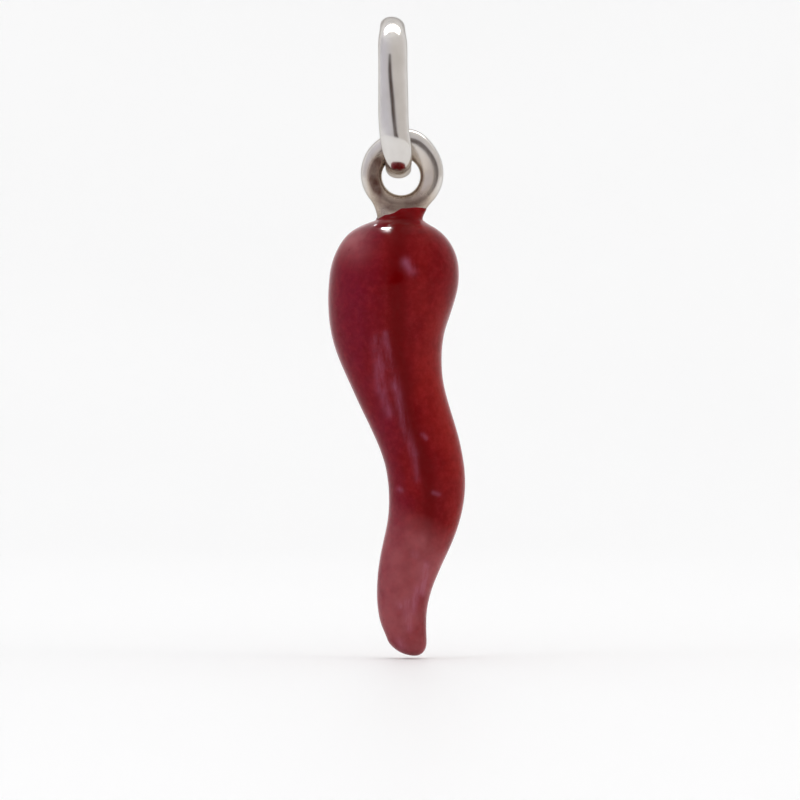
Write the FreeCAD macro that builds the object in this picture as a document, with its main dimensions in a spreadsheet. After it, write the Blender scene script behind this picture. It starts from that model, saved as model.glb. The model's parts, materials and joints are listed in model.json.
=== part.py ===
import FreeCAD, Part
import math
import os
import Sketcher

# A cornicello: a small red horn charm of cast silver under a thick coat of enamel, on an oval bail.
# Lengths are millimetres and angles are degrees. The front looks along -Y, +Z is up, and the origin is
# the point under the top bend of the bail where a neck chain would lie.

os.makedirs("parts", exist_ok=True)
doc = FreeCAD.newDocument("horn_pendant")

# Driving dimensions
sheet = doc.addObject("Spreadsheet::Sheet", "dims")

DIMENSIONS = [
    # alias, value, what it is
    ("bail_inside_height", 5.51, "clear height inside the bail"),
    ("bail_inside_depth", 1.94, "clear depth inside the bail, front to back"),
    ("bail_wire_width", 1.24, "width of the bail's oval wire, side to side"),
    ("bail_wire_thickness", 0.88, "thickness of the bail's oval wire"),
    ("bail_lean", 1.9, "how far the hanging bail leans, its foot to the right"),
    ("eye_shift", 0.31, "centre of the eye's hole, right of the origin"),
    ("eye_drop", 6.29, "centre of the eye's hole, below the origin"),
    ("eye_hole_radius", 0.89, "radius of the hole"),
    ("eye_ring_radius", 1.86, "outer radius of the eye"),
    ("eye_ring_shift", 0.05, "centre of the outer edge, right of the hole's centre"),
    ("eye_ring_rise", 0.13, "centre of the outer edge, above the hole's centre"),
    ("eye_thickness", 0.95, "thickness of the eye, front to back"),
    ("eye_rounding", 0.33, "rounding of the eye's edges"),
    ("core_gap", 0.03, "gap between the silver and the enamel"),
    ("edge_drop", 1.66, "middle of the enamel's upper edge, below the hole's centre"),
    ("edge_tilt", 13.0, "tilt of the enamel's upper edge, higher on the right"),
    ("trim_side", 6.0, "side of the block that cuts the enamel off at that edge"),
    ("tip_reach", 0.86, "how far the rounded end reaches below the last section"),
    ("tip_drift", 0.15, "how far the rounded end runs to the right"),
    ("tip_lean", -10.0, "lean of the very end"),
    ("tip_fullness", 0.83, "power of the oval that rounds the end; under 1 is blunter than an ellipse"),
]

# Sections down the horn, from inside the eye to the start of the rounded end. Drop and shift are the
# middle of the section below and to the right of the hole's centre; lean is how far the horn runs to
# the right there; the half sizes are those of the enamelled surface, and coat is how thick the enamel is.
SECTION_COLUMNS = ("drop", "shift", "lean", "half_width", "half_depth", "coat")
SECTIONS = [
    (1.20, 0.03, 0, 1.35, 0.56, 0.08),
    (1.48, 0.02, 0, 1.28, 0.62, 0.08),
    (1.72, -0.02, 0, 0.98, 0.63, 0.08),
    (1.91, -0.06, 0, 1.05, 0.70, 0.10),
    (2.15, -0.20, 0, 1.46, 1.08, 0.14),
    (2.45, -0.24, 0, 1.95, 1.68, 0.20),
    (3.05, -0.24, 0, 2.49, 2.24, 0.25),
    (3.90, -0.27, 0, 2.84, 2.55, 0.25),
    (4.95, -0.35, -2, 2.91, 2.62, 0.25),
    (6.15, -0.53, -2, 2.75, 2.50, 0.25),
    (7.30, -0.54, 5, 2.51, 2.27, 0.25),
    (8.60, -0.30, 12, 2.19, 1.98, 0.25),
    (10.00, 0.11, 19, 1.93, 1.77, 0.25),
    (11.50, 0.66, 19, 1.80, 1.68, 0.25),
    (13.00, 1.07, 9, 1.76, 1.63, 0.25),
    (14.50, 1.14, -5, 1.70, 1.58, 0.25),
    (15.90, 0.88, -15, 1.55, 1.48, 0.25),
    (17.20, 0.46, -16, 1.40, 1.36, 0.25),
    (18.50, 0.15, -7, 1.24, 1.21, 0.25),
    (20.00, 0.12, 7, 1.04, 1.04, 0.22),
    (20.70, 0.24, 0, 0.92, 0.92, 0.20),
]

# Sections of the rounded end: degrees round the quarter oval that closes the horn. The last of them is
# the small flat that the horn ends in.
TIP_ANGLES = (24, 46, 64, 78)

sheet.set("A1", "name")
sheet.set("B1", "value")
sheet.set("C1", "meaning")
for row, (alias, value, meaning) in enumerate(DIMENSIONS, start=2):
    sheet.set("A%d" % row, alias)
    sheet.set("B%d" % row, str(value))
    sheet.set("C%d" % row, meaning)
    sheet.setAlias("B%d" % row, alias)

heading_row = len(DIMENSIONS) + 3
for column, heading in zip("BCDEFG", SECTION_COLUMNS):
    sheet.set("%s%d" % (column, heading_row), heading)
    for number, values in enumerate(SECTIONS):
        cell = "%s%d" % (column, heading_row + 1 + number)
        sheet.set(cell, str(values[SECTION_COLUMNS.index(heading)]))
        sheet.setAlias(cell, "%s_%d" % (heading, number))
doc.recompute()


def bind(thing, expressions):
    """Bind properties of an object to the sheet."""
    for name, expression in expressions.items():
        thing.setExpression(name, expression)


def turn_about(thing, axis):
    """Give an object an axis to turn about; the sheet then sets the angle."""
    any_angle = 1
    thing.Placement.Rotation = FreeCAD.Rotation(axis, any_angle)


def boolean(kind, name, base, tool):
    """A cut or a fusion of two shapes."""
    result = doc.addObject("Part::" + kind, name)
    result.Base = base
    result.Tool = tool
    return result


FRONT_TO_BACK = FreeCAD.Vector(0, 1, 0)


def section(name, right, down, lean, half_width, half_depth):
    """One elliptical section of the horn, placed from the centre of the eye's hole."""
    ellipse = doc.addObject("Part::Ellipse", name)
    turn_about(ellipse, FRONT_TO_BACK)
    bind(ellipse, {
        "MajorRadius": half_width,
        "MinorRadius": half_depth,
        "Placement.Base.x": "dims.eye_shift + " + right,
        "Placement.Base.z": "-dims.eye_drop - (%s)" % down,
        "Placement.Rotation.Angle": "-(%s)" % lean,
    })
    return ellipse


def horn_loft(name, inset):
    """A smooth solid through all the sections, each drawn in by the inset, where {n} is its number."""
    outlines = []
    for number in range(len(SECTIONS)):
        drawn_in = inset.format(n=number)
        outlines.append(section(
            "%s_section_%d" % (name, number),
            "dims.shift_%d" % number,
            "dims.drop_%d" % number,
            "dims.lean_%d" % number,
            "dims.half_width_%d - (%s)" % (number, drawn_in),
            "dims.half_depth_%d - (%s)" % (number, drawn_in),
        ))
    last = len(SECTIONS) - 1
    scale = "(1 - (%s) / dims.half_width_%d)" % (inset.format(n=last), last)
    for angle in TIP_ANGLES:
        along = "%s * sin(%d deg)" % (scale, angle)
        across = "%s * cos(%d deg) ^ dims.tip_fullness" % (scale, angle)
        outlines.append(section(
            "%s_tip_%d" % (name, angle),
            "dims.shift_%d + dims.tip_drift * %s" % (last, along),
            "dims.drop_%d + dims.tip_reach * %s" % (last, along),
            "dims.lean_%d + (dims.tip_lean - dims.lean_%d) * sin(%d deg)" % (last, last, angle),
            "dims.half_width_%d * %s" % (last, across),
            "dims.half_depth_%d * %s" % (last, across),
        ))
    loft = doc.addObject("Part::Loft", name)
    loft.Sections = outlines
    loft.Solid = True
    loft.Ruled = False
    return loft


def disc(name, radius, right, up):
    """A disc that faces front, as thick as the eye, placed from the centre of the eye's hole."""
    cylinder = doc.addObject("Part::Cylinder", name)
    cylinder.Placement.Rotation = FreeCAD.Rotation(FreeCAD.Vector(1, 0, 0), 90)
    bind(cylinder, {
        "Radius": radius,
        "Height": "dims.eye_thickness",
        "Placement.Base.x": "dims.eye_shift + " + right,
        "Placement.Base.y": "dims.eye_thickness / 2",
        "Placement.Base.z": "-dims.eye_drop + " + up,
    })
    return cylinder


# The silver casting: a horn-shaped core whose neck grows into the eye it hangs by. The eye is a washer
# with rounded edges, a little thicker at its top because its hole sits low in it.
core = horn_loft("core", "dims.coat_{n} + dims.core_gap")
eye_blank = boolean(
    "Cut", "eye_blank",
    disc("eye_disc", "dims.eye_ring_radius", "dims.eye_ring_shift", "dims.eye_ring_rise"),
    disc("eye_hole", "dims.eye_hole_radius", "0", "0"),
)
doc.recompute()
eye = doc.addObject("Part::Fillet", "eye")
eye.Base = eye_blank
eye.Edges = [
    (number, sheet.eye_rounding, sheet.eye_rounding)
    for number, edge in enumerate(eye_blank.Shape.Edges, start=1)
    if isinstance(edge.Curve, Part.Circle)
]
casting = boolean("Fuse", "casting", eye, core)
casting.Label = "horn_casting"

# The enamel: a hollow skin over the core, cut off at a slanting edge round the neck
skin = horn_loft("skin", "0")
hollow = horn_loft("hollow", "dims.coat_{n}")
shell = boolean("Cut", "shell", skin, hollow)

trim = doc.addObject("Part::Box", "trim")
turn_about(trim, FRONT_TO_BACK)
bind(trim, {
    "Length": "dims.trim_side",
    "Width": "dims.trim_side",
    "Height": "dims.trim_side",
    "Placement.Base.x": "dims.eye_shift - dims.trim_side / 2 * cos(dims.edge_tilt * 1 deg)",
    "Placement.Base.y": "-dims.trim_side / 2",
    "Placement.Base.z":
        "-dims.eye_drop - dims.edge_drop - dims.trim_side / 2 * sin(dims.edge_tilt * 1 deg)",
    "Placement.Rotation.Angle": "-dims.edge_tilt",
})
enamel = boolean("Cut", "enamel", shell, trim)
enamel.Label = "enamel_coat"

# The bail: one closed oval link of soldered wire, seen edge-on from the front. The sketch of its middle
# line stands across the horn, with its first axis to the back and its second one up.
TOP_BEND, FRONT_STRAND, FOOT_BEND, BACK_STRAND = range(4)
START_POINT, END_POINT, CENTRE_POINT = 1, 2, 3
ORIGIN_POINT = (-1, 1)
UPRIGHT_AXIS = -2

bend_radius = (sheet.bail_inside_depth + sheet.bail_wire_thickness) / 2
top_height = -sheet.bail_inside_depth / 2
foot_height = sheet.bail_inside_depth / 2 - sheet.bail_inside_height


def half_turn(height, start_angle):
    """Half a circle of the bend's radius, round a point of the upright axis."""
    circle = Part.Circle(FreeCAD.Vector(0, height, 0), FreeCAD.Vector(0, 0, 1), bend_radius)
    return Part.ArcOfCircle(circle, start_angle, start_angle + math.pi)


def strand(along, start, end):
    """A straight strand, a bend's radius to the front or the back of the upright axis."""
    return Part.LineSegment(FreeCAD.Vector(along, start, 0), FreeCAD.Vector(along, end, 0))


path = doc.addObject("Sketcher::SketchObject", "bail_path")
path.Placement.Rotation = FreeCAD.Rotation(FreeCAD.Vector(1, 1, 1), 120)
path.addGeometry([
    half_turn(top_height, 0),
    strand(-bend_radius, top_height, foot_height),
    half_turn(foot_height, math.pi),
    strand(bend_radius, foot_height, top_height),
])
for piece, following in (
    (TOP_BEND, FRONT_STRAND),
    (FRONT_STRAND, FOOT_BEND),
    (FOOT_BEND, BACK_STRAND),
    (BACK_STRAND, TOP_BEND),
):
    path.addConstraint(Sketcher.Constraint("Tangent", piece, END_POINT, following, START_POINT))
path.addConstraint(Sketcher.Constraint("PointOnObject", TOP_BEND, CENTRE_POINT, UPRIGHT_AXIS))
path.addConstraint(Sketcher.Constraint("PointOnObject", FOOT_BEND, CENTRE_POINT, UPRIGHT_AXIS))
path.addConstraint(Sketcher.Constraint("Equal", TOP_BEND, FOOT_BEND))

PATH_DIMENSIONS = [
    # name, kind, what it measures, its value, its expression
    ("bend_radius", "Radius", (TOP_BEND,), bend_radius,
     "(dims.bail_inside_depth + dims.bail_wire_thickness) / 2"),
    ("top_drop", "DistanceY", (TOP_BEND, CENTRE_POINT, *ORIGIN_POINT), -top_height,
     "dims.bail_inside_depth / 2"),
    ("bend_spacing", "DistanceY", (FOOT_BEND, CENTRE_POINT, TOP_BEND, CENTRE_POINT),
     top_height - foot_height, "dims.bail_inside_height - dims.bail_inside_depth"),
]
for name, kind, measured, value, expression in PATH_DIMENSIONS:
    index = path.addConstraint(Sketcher.Constraint(kind, *measured, value))
    path.renameConstraint(index, name)
    path.setExpression("Constraints." + name, expression)

wire = doc.addObject("Part::Ellipse", "bail_wire")
bind(wire, {
    "MajorRadius": "dims.bail_wire_width / 2",
    "MinorRadius": "dims.bail_wire_thickness / 2",
    "Placement.Base.y": "-(dims.bail_inside_depth + dims.bail_wire_thickness) / 2",
    "Placement.Base.z": "-dims.bail_inside_height / 2",
})
bail = doc.addObject("Part::Sweep", "bail_link")
bail.Label = "bail"
bail.Sections = [wire]
bail.Spine = (path, ["Edge1", "Edge2", "Edge3", "Edge4"])
bail.Solid = True
turn_about(bail, FRONT_TO_BACK)
bind(bail, {"Placement.Rotation.Angle": "-dims.bail_lean"})

# Every object has to be sound before any piece is written
doc.recompute()
for thing in doc.Objects:
    if "Invalid" in thing.State or "Error" in thing.State:
        raise RuntimeError("%s failed: %s" % (thing.Label, thing.State))

for piece in (casting, enamel, bail):
    shape = piece.Shape
    if shape.isNull() or not shape.isValid() or len(shape.Solids) != 1:
        raise RuntimeError("%s isn't one valid solid" % piece.Label)
    shape.exportStep("parts/%s.step" % piece.Label)
    print("%s: %.2f cubic mm" % (piece.Label, shape.Volume))
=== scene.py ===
import json
import math

import bpy
import mathutils
import numpy as np
from bpy.props import FloatProperty, FloatVectorProperty, PointerProperty
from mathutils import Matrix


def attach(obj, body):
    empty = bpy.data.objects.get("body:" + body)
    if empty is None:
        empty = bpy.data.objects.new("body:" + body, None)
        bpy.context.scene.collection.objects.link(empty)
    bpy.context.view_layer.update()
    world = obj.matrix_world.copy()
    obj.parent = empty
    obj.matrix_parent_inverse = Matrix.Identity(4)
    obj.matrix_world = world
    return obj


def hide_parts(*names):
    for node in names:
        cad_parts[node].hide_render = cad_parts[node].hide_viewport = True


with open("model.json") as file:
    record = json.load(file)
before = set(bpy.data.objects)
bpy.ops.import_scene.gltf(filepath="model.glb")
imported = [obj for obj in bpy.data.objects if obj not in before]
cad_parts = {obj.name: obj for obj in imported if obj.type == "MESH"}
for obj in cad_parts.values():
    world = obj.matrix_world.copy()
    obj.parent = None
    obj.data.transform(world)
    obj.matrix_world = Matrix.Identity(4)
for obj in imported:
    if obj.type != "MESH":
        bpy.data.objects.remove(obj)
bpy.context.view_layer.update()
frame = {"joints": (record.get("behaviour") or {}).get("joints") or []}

bl_info = {
    "name": "Cornicello horn pendant",
    "version": (1, 0, 0),
    "blender": (4, 5, 0),
    "location": "3D View > Sidebar > Horn pendant",
    "description": "Builds an enamelled silver horn charm on its bail, with a plain studio round it",
    "category": "Add Mesh",
}

MM = 0.001
TURN = 2 * math.pi

# The horn, as (drop, shift, lean, half width, half depth, coat) in millimetres and degrees, measured from
# the centre of the eye's hole. Drop and shift are the middle of an elliptical section below and to the right
# of it, lean is how far the horn runs to the right there, the half sizes are those of the enamelled
# surface, and coat is how thick the enamel is.
SECTIONS = np.array([
    (2.00, -0.09, 0, 1.15, 1.00, 0.10),
    (2.15, -0.20, 0, 1.46, 1.34, 0.14),
    (2.45, -0.24, 0, 1.95, 1.78, 0.20),
    (3.05, -0.24, 0, 2.49, 2.27, 0.25),
    (3.90, -0.27, 0, 2.84, 2.55, 0.25),
    (4.95, -0.35, -2, 2.91, 2.62, 0.25),
    (6.15, -0.53, -2, 2.75, 2.50, 0.25),
    (7.30, -0.54, 5, 2.51, 2.27, 0.25),
    (8.60, -0.30, 12, 2.19, 1.98, 0.25),
    (10.00, 0.11, 19, 1.93, 1.77, 0.25),
    (11.50, 0.66, 19, 1.80, 1.68, 0.25),
    (13.00, 1.07, 9, 1.76, 1.63, 0.25),
    (14.50, 1.14, -5, 1.70, 1.58, 0.25),
    (15.90, 0.88, -15, 1.55, 1.48, 0.25),
    (17.20, 0.46, -16, 1.40, 1.36, 0.25),
    (18.50, 0.15, -7, 1.24, 1.21, 0.25),
    (20.00, 0.12, 7, 1.04, 1.04, 0.22),
    (20.70, 0.24, 0, 0.92, 0.92, 0.20),
])
LAST_DROP, LAST_SHIFT, LAST_LEAN, LAST_HALF_WIDTH, LAST_HALF_DEPTH, LAST_COAT = SECTIONS[-1]
# The rounded end: how far it runs past the last section and drifts to the right, in mm, the lean it ends
# with, the power that makes it blunt, and the angles of its rows, in degrees
TIP_REACH = 0.86
TIP_DRIFT = 0.15
TIP_LEAN = -10.0
TIP_FULLNESS = 0.83
TIP_ANGLES = np.array([24, 46, 64, 78, 90])

# The hinge in the eye's hole, in millimetres
EYE_CENTRE = np.array(frame["joints"][0]["pos_m"]) / MM
# The eye's top bulges at the first of these angles, over the second. The crest of its wire leans outwards by
# CREST_LEAN, and by up to CREST_SWAY more at CREST_ANGLE. A power below one squares the wire's section.
SWELL_ANGLE = math.radians(74)
SWELL_SPREAD = math.radians(24)
CREST_LEAN = 0.12
CREST_SWAY = 0.22
CREST_ANGLE = math.radians(15)
EYE_SQUARING = 0.80


def spline(knots, values, points):
    """A smooth curve through the rows of a table: a cubic between each two knots, with equal slope and
    bend where two cubics meet and no bend at either end."""
    gaps = np.diff(knots)
    slopes = np.diff(values, axis=0) / gaps[:, None]
    count = len(knots)
    system = np.eye(count)
    bends = np.zeros_like(values, dtype=float)
    inner = np.arange(1, count - 1)
    system[inner, inner - 1] = gaps[:-1]
    system[inner, inner] = 2 * (gaps[:-1] + gaps[1:])
    system[inner, inner + 1] = gaps[1:]
    bends[1:-1] = 6 * np.diff(slopes, axis=0)
    bends = np.linalg.solve(system, bends)
    span = np.clip(np.searchsorted(knots, points, side="right") - 1, 0, count - 2)
    step = gaps[span][..., None]
    after = (points - knots[span])[..., None] / step
    before = 1 - after
    return (
        before * values[span] + after * values[span + 1]
        + ((before ** 3 - before) * bends[span] + (after ** 3 - after) * bends[span + 1]) * step ** 2 / 6
    )


def closing_rows():
    """The sections of the rounded end: a quarter oval that turns the last section into a point. Going
    round it by an angle, the middle runs along its reach with the sine, and the half sizes shrink with
    the cosine to a power under one, which makes it blunt."""
    sine = np.sin(np.radians(TIP_ANGLES))
    size = np.clip(np.cos(np.radians(TIP_ANGLES)), 0, 1) ** TIP_FULLNESS
    size[-1] = 0
    return np.column_stack([
        LAST_DROP + TIP_REACH * sine,
        LAST_SHIFT + TIP_DRIFT * sine,
        LAST_LEAN + (TIP_LEAN - LAST_LEAN) * sine,
        LAST_HALF_WIDTH * size,
        LAST_HALF_DEPTH * size,
        np.full_like(sine, LAST_COAT),
    ])


HORN_ROWS = np.vstack([SECTIONS, closing_rows()])
# How far each row lies along the horn's outline: this spaces the curves through the table evenly
HORN_STEPS = np.linalg.norm(np.diff(HORN_ROWS[:, [0, 1, 3]], axis=0), axis=1)
HORN_KNOTS = np.concatenate([[0], np.cumsum(HORN_STEPS)])
HORN_LENGTH = HORN_KNOTS[-1]
LAST_KNOT = HORN_KNOTS[len(SECTIONS) - 1]


def unit(vectors):
    """The vectors, each at a length of one."""
    return vectors / np.linalg.norm(vectors, axis=-1, keepdims=True)


def wrapped(angle):
    """An angle brought to within half a turn of nought."""
    return np.angle(np.exp(1j * angle))


def power(wave, exponent):
    """A sine or cosine raised to a power with its sign kept, which squares or points an oval."""
    return np.sign(wave) * np.abs(wave) ** exponent


def eye_surface(around, section, sizes):
    """The eye. A point goes round the hole by the first angle, from the right, and round the wire by the
    second, from its outer edge over the front. The wire's section is a squared oval between the hole's
    radius and an outer circle with its centre a little higher, and its crest leans outwards by an amount
    that changes round the eye."""
    direction = np.stack([np.cos(around), np.zeros_like(around), np.sin(around)], axis=-1)
    offset = direction[..., 0] * sizes.ring_shift / MM + direction[..., 2] * sizes.ring_rise / MM
    ring = sizes.ring_radius / MM
    away = math.hypot(sizes.ring_shift, sizes.ring_rise) / MM
    outer = offset + np.sqrt(ring ** 2 - away ** 2 + offset ** 2)
    swell = np.exp(-(wrapped(around - SWELL_ANGLE) / SWELL_SPREAD) ** 2)
    outer = outer + sizes.top_swell / MM * swell
    inner = sizes.hole_radius / MM
    half = (outer - inner) / 2
    crest = CREST_LEAN + CREST_SWAY * np.cos(around - CREST_ANGLE)
    across = power(np.cos(section), EYE_SQUARING) + crest * np.sin(section) ** 2
    radius = inner + half + half * across
    depth = sizes.thickness / 2 / MM * power(np.sin(section), EYE_SQUARING)
    point = EYE_CENTRE + direction * radius[..., None]
    point[..., 1] -= depth
    return point


# How far the neck's foot reaches round the eye and round its wire, each way, and how strongly the neck's
# curve keeps to the eye's direction and to the horn's, in mm
NECK_SPREAD = math.radians(53)
NECK_WRAP = math.radians(88)
NECK_PULL = 0.80
SHOULDER_PULL = 0.55


def on_eye(around, sizes, step=0.0):
    """The closed line on the eye where the neck begins: an oval round the lowest point of its outer
    edge. A step moves it towards that point."""
    size = 1 - step
    return eye_surface(
        -TURN / 4 + NECK_SPREAD * size * np.cos(around),
        NECK_WRAP * size * np.sin(around),
        sizes,
    )


def neck_foot(around, section):
    """How far a point of the eye lies inside the oval of on_eye(): one in its middle, nought on it, and
    below nought outside."""
    return 1 - np.hypot(
        wrapped(around + TURN / 4) / NECK_SPREAD,
        wrapped(section) / NECK_WRAP,
    )


def horn_section(along, around, lift):
    """A point of the horn's body: an ellipse across the horn's middle line, drawn in by the enamel's
    depth and let out by the lift. Past the last section of the table it shrinks in proportion."""
    drop, shift, lean, half_width, half_depth, coat = np.moveaxis(
        spline(HORN_KNOTS, HORN_ROWS, along), -1, 0
    )
    inset = coat - lift
    past = along > LAST_KNOT
    shrink = 1 - inset / LAST_HALF_WIDTH
    drop = np.where(past, LAST_DROP + (drop - LAST_DROP) * shrink, drop)
    shift = np.where(past, LAST_SHIFT + (shift - LAST_SHIFT) * shrink, shift)
    half_width = np.where(past, half_width * shrink, half_width - inset)
    half_depth = np.where(past, half_depth * shrink, half_depth - inset)
    lean = np.radians(lean)
    sideways = half_width * np.cos(around)
    return np.stack([
        EYE_CENTRE[0] + shift + sideways * np.cos(lean),
        EYE_CENTRE[1] - half_depth * np.sin(around),
        EYE_CENTRE[2] - drop + sideways * np.sin(lean),
    ], axis=-1)


def neck(along, around, lift, sizes):
    """A point of the neck, from the eye at 0 to the horn's first section at 1: a cubic that leaves the
    eye along its surface and joins the horn along its own, so neither end shows a crease. The directions
    at both ends are read from small steps over the surfaces."""
    start = on_eye(around, sizes)
    inwards = unit(on_eye(around, sizes, 0.02) - start)
    outward = unit(np.cross(on_eye(around + 0.01, sizes) - start, inwards))
    start = start + outward * lift[..., None]
    zero = np.zeros_like(along)
    end = horn_section(zero, around, lift)
    onwards = unit(horn_section(zero + 0.05, around, lift) - end)
    q = along[..., None]
    return (
        (2 * q ** 3 - 3 * q ** 2 + 1) * start + (q ** 3 - 2 * q ** 2 + q) * NECK_PULL * inwards
        + (3 * q ** 2 - 2 * q ** 3) * end + (q ** 3 - q ** 2) * SHOULDER_PULL * onwards
    )


def casting_surface(along, around, lift, sizes):
    """The silver's surface, or one lifted off it. The way along runs from -1 at the eye to 0 where the
    neck becomes the horn, and then in millimetres down to the tip."""
    return np.where(
        along[..., None] < 0,
        neck(np.clip(along + 1, 0, 1), around, lift, sizes),
        horn_section(np.clip(along, 0, HORN_LENGTH), around, lift),
    )


def sheet_of(rows, columns):
    """Two arrays, of the rows' values and of angles once round, for a grid that closes on itself."""
    angles = np.linspace(0, TURN, columns, endpoint=False)
    return np.meshgrid(rows, angles, indexing="ij")


def shell(points, ring=False):
    """Corners and faces of a closed surface on a grid of points: each row closes on itself, and the rows
    either close too, as a ring, or end in a point at each end."""
    rows, columns, _ = points.shape
    corners = points.reshape(-1, 3)
    index = np.arange(rows * columns).reshape(rows, columns)
    if ring:
        lower, upper = index, np.roll(index, -1, axis=0)
        fans = []
    else:
        corners = np.vstack([points[0].mean(axis=0), points[1:-1].reshape(-1, 3), points[-1].mean(axis=0)])
        index = 1 + np.arange((rows - 2) * columns).reshape(rows - 2, columns)
        lower, upper = index[:-1], index[1:]
        following = np.roll(index, -1, axis=1)
        first = np.zeros(columns, int)
        last = np.full(columns, len(corners) - 1)
        fans = [
            np.column_stack([first, following[0], index[0]]),
            np.column_stack([last, index[-1], following[-1]]),
        ]
    quads = np.stack(
        [lower, np.roll(lower, -1, axis=1), np.roll(upper, -1, axis=1), upper], axis=-1
    ).reshape(-1, 4)
    triangles = np.vstack([quads[:, [0, 1, 2]], quads[:, [0, 2, 3]], *fans])
    a, b, c = np.moveaxis(corners[triangles], 1, 0)
    inside_out = np.einsum("ij,ij->i", a, np.cross(b, c)).sum() < 0
    faces = [quads, *fans]
    if inside_out:
        faces = [face[:, ::-1] for face in faces]
    return corners, faces


def new_object(name, corners, faces, material, smooth=True):
    """An object in the scene with one material, from corners in millimetres and faces."""
    mesh = bpy.data.meshes.new(name)
    mesh.from_pydata((corners * MM).tolist(), [], faces)
    mesh.polygons.foreach_set("use_smooth", np.full(len(mesh.polygons), smooth))
    mesh.update()
    mesh.materials.append(material)
    thing = bpy.data.objects.new(name, mesh)
    bpy.context.scene.collection.objects.link(thing)
    return thing


def make_piece(name, shells, material, body, node):
    """A finished piece from one or more closed shells in millimetres. It rides on a body and stands for a
    node of the solids."""
    corners, faces, first = [], [], 0
    for shell_corners, shell_faces in shells:
        corners.append(shell_corners)
        faces.extend(row for face in shell_faces for row in (face + first).tolist())
        first += len(shell_corners)
    piece = new_object(name, np.vstack(corners), faces, material)
    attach(piece, body)
    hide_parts(node)
    return piece


def mark(thing, name, values):
    """Writes one number for each corner of an object, for its material to read."""
    attribute = thing.data.attributes.new(name, "FLOAT", "POINT")
    attribute.data.foreach_set("value", values.astype(np.float32))


def tone(piece, name, rule):
    """Marks a piece with what a rule makes of its corners in millimetres."""
    corners = np.empty(len(piece.data.vertices) * 3, np.float32)
    piece.data.vertices.foreach_get("co", corners)
    mark(piece, name, rule(corners.reshape(-1, 3).astype(float) / MM))


def ripple(points, length, seed):
    """A soft uneven height from -1 to 1 at points in millimetres: the mean of eight plane waves of about
    one length, in seeded directions."""
    random = np.random.default_rng(seed)
    directions = unit(random.normal(size=(8, 3)))
    lengths = length * random.uniform(0.75, 1.35, 8)
    phases = random.uniform(0, TURN, 8)
    waves = np.sin(points @ (directions.T * TURN / lengths) + phases)
    return waves.mean(axis=-1) * 1.6


def linear(hex_colour):
    """An sRGB colour written as six hex digits, as linear red, green, blue and an alpha of one."""
    channels = np.array([int(hex_colour[i:i + 2], 16) / 255 for i in (0, 2, 4)])
    channels = np.where(channels <= 0.04045, channels / 12.92, ((channels + 0.055) / 1.055) ** 2.4)
    return (*(float(c) for c in channels), 1.0)


def new_material(name):
    """A material with an empty node tree, the tree, and the place on the object in millimetres."""
    material = bpy.data.materials.new(name)
    material.use_nodes = True
    tree = material.node_tree
    tree.nodes.clear()
    place = add(tree, "ShaderNodeTexCoord", out="Object")
    in_mm = add(tree, "ShaderNodeVectorMath", {"Vector": place, "Scale": 1 / MM}, operation="SCALE")
    return material, tree, in_mm


def add(tree, kind, inputs=(), out=0, **settings):
    """Adds a node with its settings, links or fills its inputs, given in order or by name or number, and
    gives back one of its outputs, if it has any."""
    node = tree.nodes.new(kind)
    for name, value in settings.items():
        setattr(node, name, value)
    for key, value in inputs.items() if isinstance(inputs, dict) else enumerate(inputs):
        if isinstance(value, bpy.types.NodeSocket):
            tree.links.new(value, node.inputs[key])
        else:
            node.inputs[key].default_value = value
    return node.outputs[out] if node.outputs else None


# What the rows of numbers for the noises below stand for
NOISE = ("Vector", "Scale", "Detail", "Roughness")


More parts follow.
